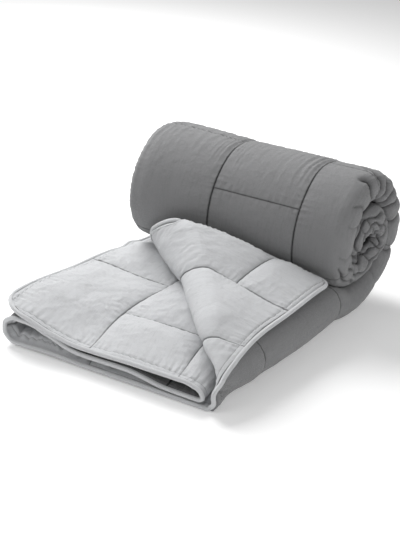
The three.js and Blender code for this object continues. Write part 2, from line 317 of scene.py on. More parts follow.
def layOnRoll(u, v):
    a = angleAt(u)
    pitch = (outerRadius(a) - innerRadius(a)) / 4
    wide = mix(pitch, stack["rollPitch"], 0.5)
    x, h = foldedAt(v, wide, rightAt(a) - 2 * stack["rollPitch"], 1.0)
    toLeft = smooth((-x - roll["leftSwellFrom"]) / roll["leftSwellLength"])
    swell = roll["swell"] + roll["leftSwell"] * toLeft
    radius = outerRadius(a) - h * pitch / wide + swell * np.sin(a / 2) ** 2
    return np.stack([
        x, tail["length"] + radius * np.sin(a), roll["axisHeight"] - radius * np.cos(a)], -1)


def layCloth(u, v):
    onRoll = (u > tailCloth)[..., None]
    folded = (v > corner["start"] - 0.06)[..., None]
    flat = np.where(folded, layTopLayer(u, v), layOnTail(u, v))
    return np.where(onRoll, layOnRoll(np.maximum(u, tailCloth), v), flat)


def layerPitch(u):
    a = angleAt(np.maximum(u, tailCloth))
    return np.where(u <= tailCloth, pitchOnTail(u * cloth["takeUp"]), (outerRadius(a) - innerRadius(a)) / 4)


def insetLength(u, v):  # the near corners are rounded
    near = np.minimum(v, cloth["width"] - v)
    radius = cloth["corner"]
    inset = np.where(near < radius, radius - np.sqrt(np.maximum(0, radius ** 2 - (radius - near) ** 2)), 0)
    band = cloth["crossSeam"] / 2
    return np.where(u < band, mix(inset, band, u / band), u)


# The sewn cells and their puckers

cells = {
    "seamHalf": 0.0016,
    "profile": {"light": 0.55, "turned": 0.3, "dark": 0.2},  # how steeply a cell rises from its seams
    "seamShare": 0.58,  # of the full thickness, along the seams of the roll and of the outer fold
    "seamDrift": 0.022,  # the cross seams on the roll come this much sooner
    "cornerShift": (0.045, 0.035),  # on the turned corner the channel seams lie this far over
    "cornerSeams": (1.6, 1.8),  # these two seams, and how far beside them the cloth shifts
    "cornerReach": (0.12, 0.2),
    "cornerEnd": (0.24, 0.52),  # the crease's place on the second seam, and where the shift ends
    "driftFrom": 0.62,
    "driftLength": 0.3,
    "nearFullness": 0.4,  # of the thickness at the near edge
    "mouthFullness": 1.0,  # inside the left fold the cloth stands full almost up to the rim
    "mouthRise": 0.01,
    "foldFullness": 0.8,  # and in the inner folds
    "creaseFlat": 0.16,
    "creaseReach": 0.05,
    "freeRise": {"light": 0.0095, "dark": 0.003},  # more rise where nothing lies on the face
    "size": (0.3, 0.2),
    "steps": (42, 28),  # the cloth's grid in one cell
    "kinds": (3, 3),  # nine cells are puffed up, and used in turn, some of them mirrored
    "growth": -0.018,  # the cloth is this much larger than the seams leave room for
    "frames": 26,
    "wrinkle": {"light": 0.6, "turned": 0.3, "dark": 0.2, "pressed": 0.15},
    "rimStitch": 0.011,  # the second sewn line, this far inside the rim
    "rimDepth": 0.0016,
}


def sewnAt(u):  # the place along the sewn grid
    return u + cells["seamDrift"] * smooth((u - cells["driftFrom"]) / cells["driftLength"])


sewnLength = clothLength + cells["seamDrift"]


def clothAt(sewn):
    fine = np.linspace(0, clothLength, 2000)
    return np.interp(sewn, sewnAt(fine), fine)


def cellAt(u, v):  # where a place lies in its sewn cell, 0 to 1 both ways, and which cell that is
    sewn = sewnAt(u)
    channel = np.clip(np.floor(v / cloth["channel"]), 0, 9)
    shift = np.where(channel % 2 == 0, 0, cloth["crossSeam"] / 2)
    cell = np.floor((sewn - shift) / cloth["crossSeam"] + 1e-6)
    start = np.maximum(0, shift + cell * cloth["crossSeam"])
    end = np.minimum(sewnLength, shift + (cell + 1) * cloth["crossSeam"])
    along = np.clip((sewn - start) / np.maximum(end - start, 0.01), 0, 1)
    across = np.clip(v / cloth["channel"] - channel, 0, 1)
    return along, across, channel, cell


def puffCells():  # nine sewn cells of loose cloth, blown up between their seams by a cloth simulation
    (countU, countV), (stepsU, stepsV), (lengthU, lengthV) = cells["kinds"], cells["steps"], cells["size"]
    n, m = countU * stepsU, countV * stepsV
    bpy.ops.object.select_all(action="DESELECT")
    bpy.ops.mesh.primitive_grid_add(x_subdivisions=n, y_subdivisions=m, size=1)
    patch = bpy.context.object
    points = np.empty(3 * len(patch.data.vertices))
    patch.data.vertices.foreach_get("co", points)
    points = points.reshape(-1, 3)
    i, j = np.rint((points[:, 0] + 0.5) * n).astype(int), np.rint((points[:, 1] + 0.5) * m).astype(int)
    points[:, 0], points[:, 1] = i * lengthU / stepsU, j * lengthV / stepsV
    sewn = (i % stepsU == 0) | (j % stepsV == 0)
    points[:, 2] = np.where(sewn, 0, np.random.default_rng(4).normal(0, 0.0004, len(points)))
    patch.data.vertices.foreach_set("co", points.ravel())
    pins = patch.vertex_groups.new(name="seams")
    pins.add([int(k) for k in np.nonzero(sewn)[0]], 1.0, "REPLACE")
    modifier = patch.modifiers.new("cloth", "CLOTH")
    settings = modifier.settings
    settings.quality = 5
    settings.mass = 0.15
    settings.tension_stiffness = settings.compression_stiffness = 12
    settings.shear_stiffness = 4
    settings.bending_stiffness = 0.03
    settings.air_damping = 1.5
    settings.vertex_group_mass = "seams"
    settings.shrink_min = settings.shrink_max = cells["growth"]
    settings.effector_weights.gravity = 0
    settings.use_pressure = True
    settings.uniform_pressure_force = 0.35
    modifier.collision_settings.use_collision = False
    modifier.collision_settings.use_self_collision = False
    modifier.point_cache.frame_end = cells["frames"]
    frames = cells["frames"]
    for f in range(1, frames + 1):
        bpy.context.scene.frame_set(f)
    blown = patch.evaluated_get(bpy.context.evaluated_depsgraph_get())
    height = np.empty(3 * len(points))
    blown.data.vertices.foreach_get("co", height)
    sheet = np.zeros((n + 1, m + 1))
    sheet[i, j] = height.reshape(-1, 3)[:, 2]
    bpy.data.objects.remove(patch)
    bpy.context.scene.frame_set(1)
    made = np.array([sheet[a * stepsU:(a + 1) * stepsU + 1, b * stepsV:(b + 1) * stepsV + 1]
                     for a in range(countU) for b in range(countV)])
    dome = made.mean(0)
    dome = (dome + dome[::-1] + dome[:, ::-1] + dome[::-1, ::-1]) / 4
    print("cells puffed, highest", round(float(made.max()) * 1000, 1), "mm")
    return made - dome


def seamShift(u, seam):  # how far over a place on the sewn width lies, round the turned corner
    def bump(middle, reach):
        return smooth(1 - np.abs(seam - middle) / reach)

    first, second = cells["cornerShift"]
    nearSeam, farSeam = cells["cornerSeams"]
    below, above = cells["cornerReach"]
    crease, end = cells["cornerEnd"]
    nearShift = first * np.where(seam < nearSeam, bump(nearSeam, below), bump(nearSeam, above))
    shift = nearShift + second * bump(farSeam, above) * smooth(u / crease)
    return shift * smooth((end - u) / 0.2)


def wrinkleAt(u, v, side):  # how far the puffed cloth stands off its cell's plain dome
    along, across, channel, cell = cellAt(u, v)
    kind = (4 * channel + 2 * cell + 5 * side).astype(int) % len(puffs)
    a = np.where((channel + cell + side) % 2 == 0, along, 1 - along) * cells["steps"][0]
    b = np.where((channel // 2 + cell) % 2 == 0, across, 1 - across) * cells["steps"][1]
    i, j = np.floor(a).astype(int), np.floor(b).astype(int)
    s, t = a - i, b - j

    def weights(x):  # a cubic through four neighbours
        return (x * (-0.5 + x * (1 - 0.5 * x)), 1 + x * x * (-2.5 + 1.5 * x),
                x * (0.5 + x * (2 - 1.5 * x)), x * x * (-0.5 + 0.5 * x))

    total = 0
    for p, wp in enumerate(weights(s)):
        for q, wq in enumerate(weights(t)):
            ii = np.clip(i + p - 1, 0, cells["steps"][0])
            jj = np.clip(j + q - 1, 0, cells["steps"][1])
            total = total + wp * wq * puffs[kind, ii, jj]
    return total


def freedom(u, v, side):  # 1 where nothing lies on the face, 0 where it is pressed between layers
    if side > 0:  # the light face of the first layer and of the turned-back corner
        first = smooth((0.47 - v) / 0.06) * smooth((0.5 - u) / 0.1)
        turned = smooth((v - corner["start"] - u + 0.05) / 0.06)
        return np.maximum(first, turned * smooth((0.5 - u) / 0.06))
    onRoll = smooth((u - tailCloth + 0.05) / 0.1) * smooth((1.5 - u) / 0.1)
    outer = smooth((v - stack["foldLeft"][0] + 0.01) / 0.03) * smooth((stack["foldOuter"][1] - v) / 0.03)
    rightSide = smooth((v - 1.44) / 0.04) * smooth((stack["foldOuter"][1] - v) / 0.03)
    return np.maximum(onRoll * outer, rightSide)


# Half the thickness at a place: seamed is the place on the sewn width, which v leaves a little at the corner
def quiltHalf(u, v, seamed, side):
    along, across, channel, cell = cellAt(u, seamed)
    free = freedom(u, v, side)
    name = "light" if side > 0 else "dark"
    turned = smooth((v - corner["start"] - u + 0.05) / 0.06)
    profile, wrinkled = cells["profile"][name], cells["wrinkle"][name]
    if side > 0:
        profile = mix(profile, cells["profile"]["turned"], turned)
        wrinkled = mix(wrinkled, cells["wrinkle"]["turned"], turned)
    crown = (np.sin(math.pi * along) * np.sin(math.pi * across) + 1e-9) ** profile
    full = (layerPitch(u) - stack["gap"]) / 2 + cells["freeRise"][name] * free
    seam = np.minimum(cells["seamHalf"], 0.5 * full)
    if side < 0:
        seam = mix(seam, cells["seamShare"] * full, free)
    else:
        toFold = (u - (v - corner["start"])) / cells["creaseReach"]
        fromRim = np.minimum(u, cloth["width"] - v)
        onCrease = np.exp(-(toFold ** 2)) * (v > corner["start"]) * smooth((fromRim - 0.03) / 0.12)
        seam = mix(seam, cells["seamShare"] * full, onCrease)
    inLeftFold = smooth((v - 0.6) / 0.15) * smooth((1.4 - v) / 0.15) * (side > 0)
    atEdge = mix(cells["nearFullness"], cells["mouthFullness"], inLeftFold)
    near = mix(atEdge, 1, smooth(u / tail["nearBand"]))
    tight = 1.0
    for fold in ("foldRight", "foldLeft"):
        start, end = stack[fold]
        into = smooth((v - start + 0.02) / 0.02) * smooth((end + 0.02 - v) / 0.02)
        tight = tight * mix(1, cells["foldFullness"], into)
    toCrease = np.hypot(u, v - corner["start"]) / cells["creaseFlat"]
    toCrease = np.where(v > stack["foldOuter"][0], toCrease, 1)
    plain = tight * mix(seam, full * near, np.minimum(1, crown * 1.1) * smooth(toCrease))
    share = mix(cells["wrinkle"]["pressed"], wrinkled, free)
    puffed = plain + share * near * wrinkleAt(u, seamed, side) + pleatDepth(u, v, seamed, side)
    puffed = puffed + cells["mouthRise"] * inLeftFold * smooth(u / 0.018) * smooth((0.3 - u) / 0.2)
    rim = np.minimum(u, np.minimum(v, cloth["width"] - v))
    puffed = puffed - cells["rimDepth"] * np.exp(-(((rim - cells["rimStitch"]) / 0.0017) ** 2))
    if side < 0:
        puffed = puffed + dragLines(u, v) - gatherDepth(u, v)
    return np.maximum(np.minimum(seam, cells["seamHalf"]), puffed)


# The quilt's mesh

quilt = {
    "lightSteps": (50, 50, 46, 14, 44, 44, 10, 18, 46, 50),  # steps across each channel on the light face
    "darkSteps": (8, 10, 40, 22, 12, 50, 60, 48, 16, 8),
    "lightRows": ((0.53, 0.0032), (9, 0.02)),  # steps along the cloth, and up to where
    "darkRows": ((0.14, 0.005), (0.44, 0.01), (9, 0.0033)),
    "foldStep": 0.003,
    "seamCrowding": 0.35,
    "besideSeam": (0.0011, 0.0028, 0.0055),
    "besideRim": (0.003, 0.006, 0.0085, 0.0098, 0.0112, 0.0126, 0.0142, 0.0175),
    "closest": 0.0009,
}


def crowded(start, end, count, crowding):  # places between two seams, closer together at the seams
    t = np.linspace(0, 1, count + 1)[:-1]
    return start + (end - start) * (t - crowding * np.sin(fullTurn * t) / fullTurn)


def thinned(places, kept):  # the places that must stay, and of the others those that are not too close
    kept = np.unique(np.round(kept, 6))
    near = np.abs(places[:, None] - kept[None]).min(1) if len(places) else places
    found = np.sort(places[near > 0.6 * quilt["foldStep"]])
    last, chosen = -1, []
    for p in found:
        if p - last > quilt["closest"]:
            chosen.append(p)
            last = p
    return np.unique(np.concatenate([kept, chosen]))


def beside(seams, distances, low, high):
    around = [s + way * d for s in seams for d in distances for way in (-1, 1)]
    return [p for p in around if low < p < high]


def columnPlaces(steps):
    width = cloth["width"]
    seams = [i * cloth["channel"] for i in range(11)]
    found = [crowded(seams[i], seams[i + 1], n, quilt["seamCrowding"]) for i, n in enumerate(steps)]
    for fold in ("foldRight", "foldLeft", "foldOuter"):
        found.append(np.arange(*stack[fold], quilt["foldStep"]))
    kept = seams + beside(seams, quilt["besideSeam"], 0, width)
    kept += beside([0, width], quilt["besideRim"], 0, width)
    return thinned(np.concatenate(found), spaced(kept))


def spaced(places):  # without those that fall almost together
    places = sorted(places)
    return [p for i, p in enumerate(places) if i == 0 or p - places[i - 1] > 0.0004]


def rowPlaces(stretches):
    half = cloth["crossSeam"] / 2
    seams = [i * half for i in range(int(sewnLength / half) + 1)]
    found = []
    for start, end in zip(seams, seams[1:] + [sewnLength]):
        step = next(s for limit, s in stretches if start < limit)
        found.append(crowded(start, end, max(2, round((end - start) / step)), quilt["seamCrowding"]))
    kept = seams + [sewnLength] + beside(seams, quilt["besideSeam"], 0, sewnLength)
    kept += beside([0], quilt["besideRim"], 0, sewnLength)
    return clothAt(thinned(np.concatenate(found), spaced(kept)))


puffs = puffCells()

# Creases across the outer fold: the angle round the roll, slant, depth, and where on the width they start
gathers = {
    "creases": [
        (-2.84, -1.25, 0.004, 1.525), (0.5, 0.1, 0.003, 1.49), (1.1, -0.3, 0.008, 1.478),
        (1.74, -0.26, 0.009, 1.478), (2.08, 0.2, 0.009, 1.482), (2.33, 0.26, 0.012, 1.478),
        (2.62, 0.2, 0.014, 1.474), (2.88, 0.06, 0.012, 1.482), (3.2, -0.14, 0.012, 1.5),
        (3.6, -0.42, 0.006, 1.515), (4.05, -0.2, 0.003, 1.515), (4.8, 0.2, 0.004, 1.51),
        (5.62, -0.12, 0.002, 1.49), (6.05, 0.2, 0.003, 1.485), (6.7, -0.5, 0.006, 1.5),
        (7.3, 0.44, 0.008, 1.51), (7.95, -0.54, 0.007, 1.5), (8.7, 0.5, 0.008, 1.5),
        (9.5, -0.46, 0.007, 1.5), (10.4, 0.4, 0.006, 1.5),
    ],
    "to": 1.61,
    "width": 0.0028,
    "fade": 0.022,
    # the crease depth at which the painted shade in the colour is darkest
    "darkest": 0.011,
    "along": ((1.512, 0.012), (1.54, 0.013), (1.572, 0.012)),  # long creases round the inner turns
    "alongFrom": 1.27,
    "innerEdge": 1.582,  # beyond these places on the width the turns touch each other, and shade is painted into the colour there
    "outerEdge": 1.502,
    "edgeFade": 0.014,
}


def gatherDepth(u, v):
    depth = 0 * u
    for angle, slant, deep, start in gathers["creases"]:
        middle = 0.5 * (start + gathers["to"])
        reach = smooth((v - start + gathers["fade"]) / gathers["fade"]) * smooth(
            (gathers["to"] + gathers["fade"] - v) / gathers["fade"])
        waver = 0.004 * np.sin(fullTurn * v / 0.05 + 9 * angle)
        away = u - float(lengthAt(angle)) - slant * (v - middle) - waver
        sharp = np.exp(-np.abs(away) / gathers["width"])
        soft = np.exp(-((away / (5 * gathers["width"])) ** 2))
        depth = np.maximum(depth, 1.25 * deep * (0.7 * sharp + 0.3 * soft) * reach)
    for at, deep in gathers["along"]:
        away = v - at - 0.007 * np.sin(fullTurn * u / 0.16 + 40 * at)
        away = away - 0.004 * np.sin(fullTurn * u / 0.067 + 90 * at)
        long = deep * np.exp(-np.abs(away) / gathers["width"]) * smooth((u - gathers["alongFrom"]) / 0.05)
        depth = np.maximum(depth, long)
    return depth


def shadeBetweenTurns(u, v):  # painted shade: 1 where one turn of the roll lies on the next, where the colour is darkened
    fade = gathers["edgeFade"]
    inner = smooth((v - gathers["innerEdge"]) / fade) * smooth((u - tailCloth - 0.2) / 0.1)
    outer = smooth((gathers["outerEdge"] - v) / fade) * smooth((u - 1.38) / 0.06)
    return np.maximum(inner, outer)


pleats = {
    "rim": (0.0019, 0.0125, 0.02),  # depth, step along the rim and how far in they reach
    "seam": (0.0011, 0.015, 0.014),
    "fold": (0.0055, 0.019, 0.05),  # deeper inside the folds of the near edge
    "drag": (0.0016, 0.0115, 0.08),  # fine lines round the roll, beside its channel seams
    "dragPlaces": ((1.2, -1), (1.4, -1), (1.0, 1)),
}


def ripple(x, step):  # an uneven wave
    slow, faster = np.sin(fullTurn * x / (5.3 * step)), np.sin(fullTurn * x / (2.9 * step))
    return np.sin(fullTurn * x / step + 1.9 * slow + 1.3 * faster)


def dragLines(u, v):
    depth, step, reach = pleats["drag"]
    over = smooth((u - 0.84) / 0.12) * smooth((1.17 - u) / 0.16)
    total = 0.3 + 0 * u
    for seam, way in pleats["dragPlaces"]:
        away = way * (v - seam)
        total = total + np.where(away > 0, np.exp(-away / reach) * smooth(away / 0.006), 0)
    return depth * ripple(v + 0.05 * u, step) * total * over


def pleatDepth(u, v, seamed, side):
    depth, step, reach = pleats["rim"]
    width = cloth["width"]
    inside = cells["rimStitch"]
    free = np.maximum(freedom(u, v, side), mix(1, 0.35, smooth((u - 0.04) / 0.03)))

    def fading(away):
        return np.exp(-np.maximum(0, away - inside) / reach) * smooth((away - 0.3 * inside) / inside)

    total = depth * ripple(v, step) * fading(u)
    for fromEdge in (v, width - v):
        total = total + depth * ripple(u + 0.3 * side, step) * fading(fromEdge)
    depth, step, reach = pleats["seam"]
    along, across, channel, cell = cellAt(u, seamed)
    toChannel = np.minimum(across, 1 - across) * cloth["channel"]
    toCross = np.minimum(along, 1 - along) * cloth["crossSeam"]
    besideChannel = np.exp(-toChannel / reach) * smooth(toChannel / 0.004)
    besideCross = np.exp(-toCross / reach) * smooth(toCross / 0.004)
    total = total + depth * ripple(u + 0.07 * channel, step) * besideChannel
    total = total + depth * ripple(v + 0.05 * cell, step) * besideCross
    depth, step, reach = pleats["fold"]
    start, end = (stack["foldRight"] if side < 0 else stack["foldLeft"])
    reachBack = 0.09 if side < 0 else 0.4
    inFold = smooth((v - start + reachBack) / 0.07) * smooth((end + reachBack - v) / 0.07)
    depth = depth * (1 if side < 0 else 0.6)
    return total * free + depth * ripple(v, step) * np.exp(-u / reach) * smooth(u / 0.01) * inFold


def faceOfCloth(rows, columns, side):
    u0, seamed = np.meshgrid(rows, columns, indexing="ij")
    v = seamed + seamShift(u0, seamed)
    u = insetLength(u0, v)
    middle = layCloth(u, v)
    along = np.gradient(middle, axis=0)
    across = np.gradient(middle, axis=1)
    normal = np.cross(across, along)
    normal /= np.maximum(1e-12, np.linalg.norm(normal, axis=-1, keepdims=True))
    point = middle + side * normal * quiltHalf(u, v, seamed, side)[..., None]
    return u, seamed, point


def pressOnFloor(point, u, v):
    lowest = (v > stack["foldLeft"][0]) & (v < stack["foldOuter"][1]) & (u < tailCloth + tail["nearBand"])
    pressed = np.maximum(0, point[..., 2] - tail["press"] * smooth(1 - point[..., 2] / tail["pressDepth"]))
    point[..., 2] = np.where(lowest, pressed, point[..., 2])


def gridFaces(rowCount, columnCount, first, flip):
    i, j = np.meshgrid(np.arange(rowCount - 1), np.arange(columnCount - 1), indexing="ij")
    k = first + i * columnCount + j
    quads = np.stack([k, k + 1, k + columnCount + 1, k + columnCount], -1).reshape(-1, 4)
    return quads[:, ::-1] if flip else quads


def meshObject(name, points, faces):
    mesh = bpy.data.meshes.new(name)
    mesh.from_pydata([tuple(p) for p in points], [], [tuple(f) for f in faces])
    mesh.update()
    piece = bpy.data.objects.new(name, mesh)
    bpy.context.scene.collection.objects.link(piece)
    return piece


def makeQuilt():
    sides = []
    for side, steps, stretches in (
        (1, quilt["lightSteps"], quilt["lightRows"]),
        (-1, quilt["darkSteps"], quilt["darkRows"]),
    ):
        rows, columns = rowPlaces(stretches), columnPlaces(steps)
        u, v, point = faceOfCloth(rows, columns, side)
        pressOnFloor(point, u, v)
        sides.append((rows, columns, u, v, point + place))
    points, faces, slots, flat, paintedShade = [], [], [], [], []
    first = 0
    for n, (rows, columns, u, v, point) in enumerate(sides):
        quads = gridFaces(len(rows), len(columns), first, n == 1)
        points.append(point.reshape(-1, 3))
        flat.append(np.stack([sewnAt(u), v], -1).reshape(-1, 2))
        # painted shade on the dark face: the colour is darkened in its deep creases and where the roll's
        # turns lie on each other
        creaseShade = np.clip(gatherDepth(u, v) / gathers["darkest"], 0, 1)
        paintedShade.append(n * np.maximum(creaseShade, shadeBetweenTurns(u, v)).ravel())
        faces += quads.tolist()
        slots += [1 - n] * len(quads)
        first += len(rows) * len(columns)
    rims = [rimOf(s, 0 if n == 0 else len(sides[0][0]) * len(sides[0][1])) for n, s in enumerate(sides)]
    zipped = zipRims(rims[0], rims[1])
    faces += zipped
    slots += [0] * len(zipped)
    piece = meshObject("quilted_body", np.concatenate(points), faces)
    piece.data.materials.append(materials["dark"])
    piece.data.materials.append(materials["light"])
    piece.data.polygons.foreach_set("material_index", slots)
    piece.data.polygons.foreach_set("use_smooth", [True] * len(faces))
    uv = piece.data.uv_layers.new(name="cloth")
    loops = np.empty(len(piece.data.loops), dtype=np.int32)
    piece.data.loops.foreach_get("vertex_index", loops)
    uv.data.foreach_set("uv", np.concatenate(flat)[loops].ravel())
    piece.data.attributes.new("paintedShade", "FLOAT", "POINT").data.foreach_set("value", np.concatenate(paintedShade))
    piece.data.update()
    print("quilted body:", sum(len(f) - 2 for f in faces), "triangles")
    return piece


def rimOf(side, first):  # the rim's vertices in order, with how far along the rim each one lies
    rows, columns = side[0], side[1]
    nr, nc = len(rows), len(columns)
    width, whole = cloth["width"], 2 * cloth["width"] + 2 * clothLength
    near = [(j, columns[j]) for j in range(nc - 1)]
    right = [(i * nc + nc - 1, width + rows[i]) for i in range(nr - 1)]
    far = [((nr - 1) * nc + j, 2 * width + clothLength - columns[j]) for j in range(nc - 1, 0, -1)]
    left = [(i * nc, whole - rows[i]) for i in range(nr - 1, 0, -1)]
    return [(first + k, at) for k, at in near + right + far + left]


def zipRims(a, b):
    total = 2 * cloth["width"] + 2 * clothLength
    a, b = a + [(a[0][0], total)], b + [(b[0][0], total)]
    i = j = 0
    made = []
    while i < len(a) - 1 or j < len(b) - 1:
        if j == len(b) - 1 or (i < len(a) - 1 and a[i + 1][1] <= b[j + 1][1]):
            made.append((a[i + 1][0], a[i][0], b[j][0]))
            i += 1
        else:
            made.append((a[i][0], b[j][0], b[j + 1][0]))
            j += 1
    return made


# The piping

piping = {
    "radius": 0.0047,
    "share": 0.24,  # of the layer pitch, where the layers are pressed
    "gap": -0.0006,
    "sides": 12,
    "step": 0.005,
    "foldRoom": 0.003,
    "foldRoomReach": 0.06,
}


def makePiping():
    w, length, step = cloth["width"], clothLength, piping["step"]
    rows = np.linspace(0, length, int(length / step))
    folds = [np.arange(*stack[fold], quilt["foldStep"]) for fold in ("foldRight", "foldLeft", "foldOuter")]
    columns = thinned(np.concatenate([np.arange(step, w, step)] + folds), [0, w])
    path = [(0.0, v) for v in columns[:-1]] + [(u, w) for u in rows[:-1]]
    path += [(length, v) for v in columns[:0:-1]] + [(u, 0.0) for u in rows[:0:-1]]
    path = np.array(path)
    v = path[:, 1]
    u = insetLength(path[:, 0], v)
    rim = layCloth(u, v)
    probe = 0.001
    alongU = layCloth(np.minimum(u + probe, length), v) - layCloth(np.maximum(u - probe, 0), v)
    acrossV = layCloth(u, np.minimum(v + probe, w)) - layCloth(u, np.maximum(v - probe, 0))
    normal = -np.cross(acrossV, alongU)
    normal /= np.linalg.norm(normal, axis=1, keepdims=True)
    way = np.roll(rim, -1, 0) - np.roll(rim, 1, 0)
    way /= np.linalg.norm(way, axis=1, keepdims=True)
    out = np.cross(way, -normal)
    out /= np.linalg.norm(out, axis=1, keepdims=True)
    up = np.cross(out, way)
    radius = np.minimum(piping["radius"], piping["share"] * layerPitch(u))
    room = piping["foldRoom"] * (1 - smooth(np.hypot(u, v - corner["start"]) / piping["foldRoomReach"]))
    centre = rim + out * (radius + piping["gap"] + room)[:, None]
    a = fullTurn * np.arange(piping["sides"]) / piping["sides"]
    ring = centre[:, None] + radius[:, None, None] * (
        np.cos(a)[None, :, None] * out[:, None] + np.sin(a)[None, :, None] * up[:, None])
    ring[..., 2] = np.maximum(0, ring[..., 2])
    n, m = len(path), piping["sides"]
    i, j = np.meshgrid(np.arange(n), np.arange(m), indexing="ij")
    here, there = i * m, ((i + 1) % n) * m
    quads = np.stack([here + j, there + j, there + (j + 1) % m, here + (j + 1) % m], -1).reshape(-1, 4)
    piece = meshObject("edge_piping", ring.reshape(-1, 3) + place, quads.tolist())
    piece.data.polygons.foreach_set("use_smooth", [True] * len(quads))
    uv = piece.data.uv_layers.new(name="cloth")
    along = np.cumsum(np.linalg.norm(np.roll(rim, -1, 0) - rim, axis=1))
    across = 0.0075 * np.arange(m + 1)
    corners = np.stack([i, i + 1, i + 1, i], -1), np.stack([j, j, j + 1, j + 1], -1)
    alongs = np.concatenate([[0], along])
    uv.data.foreach_set("uv", np.stack([alongs[corners[0]], across[corners[1]]], -1).ravel())
    piece.data.materials.append(materials["piping"])
    print("piping:", 2 * len(quads), "triangles")
    return piece


# The cotton

cotton = {
    "dark": (0.24, 0.241, 0.245),
    "piping": (0.68, 0.688, 0.7),
    "light": (0.625, 0.633, 0.646),
    "roughness": 0.88,
    "sheen": 0.25,
    "thread": 0.0007,  # from thread to thread
    "weaveDepth": 0.00012,
    "stitch": 0.0034,  # from stitch to stitch
    "seam": {"light": (0.0024, 0.8), "dark": (0.0036, 0.97)},  # the channel seams' dark lines, width and shade: the stitching's thread plus painted shade in the sewn groove
    "crossSeam": {"light": (0.0024, 0.75), "dark": (0.0024, 0.6)},
    "tailCross": 0.2,  # the cross seams' dark line, thread plus painted groove shade, is this much darker on the tail
    "rimLine": (0.0013, 0.45),
    "grain": 0.34,
    "streaks": 0.36,
    # how strongly the painted shade darkens the roll's creases and the places between its turns
    "paintedShadeStrength": 0.9,
}


def mathNode(tree, operation, a, b=None, c=None):
    node = tree.nodes.new("ShaderNodeMath")
    node.operation = operation
    for socket, value in zip(node.inputs, (a, b, c)):
        if value is None:
            continue
        if hasattr(value, "links"):
            tree.links.new(value, socket)
        else:
            socket.default_value = value
    return node.outputs[0]


def mapped(tree, source, scale):
    node = tree.nodes.new("ShaderNodeMapping")
    node.inputs["Scale"].default_value = scale
    tree.links.new(source, node.inputs["Vector"])
    return node.outputs[0]


def noiseNode(tree, vector, scale, detail=2.0, roughness=0.5):
    node = tree.nodes.new("ShaderNodeTexNoise")
    node.inputs["Scale"].default_value = scale
    node.inputs["Detail"].default_value = detail
    node.inputs["Roughness"].default_value = roughness
    tree.links.new(vector, node.inputs["Vector"])
    return node.outputs["Fac"]


def lineAt(tree, away, width, shade):  # the shade on a line, falling to 0 beside it
    near = mathNode(tree, "SUBTRACT", 1.0, mathNode(tree, "DIVIDE", away, width))
    return mathNode(tree, "MULTIPLY", mathNode(tree, "MAXIMUM", 0.0, near), shade)


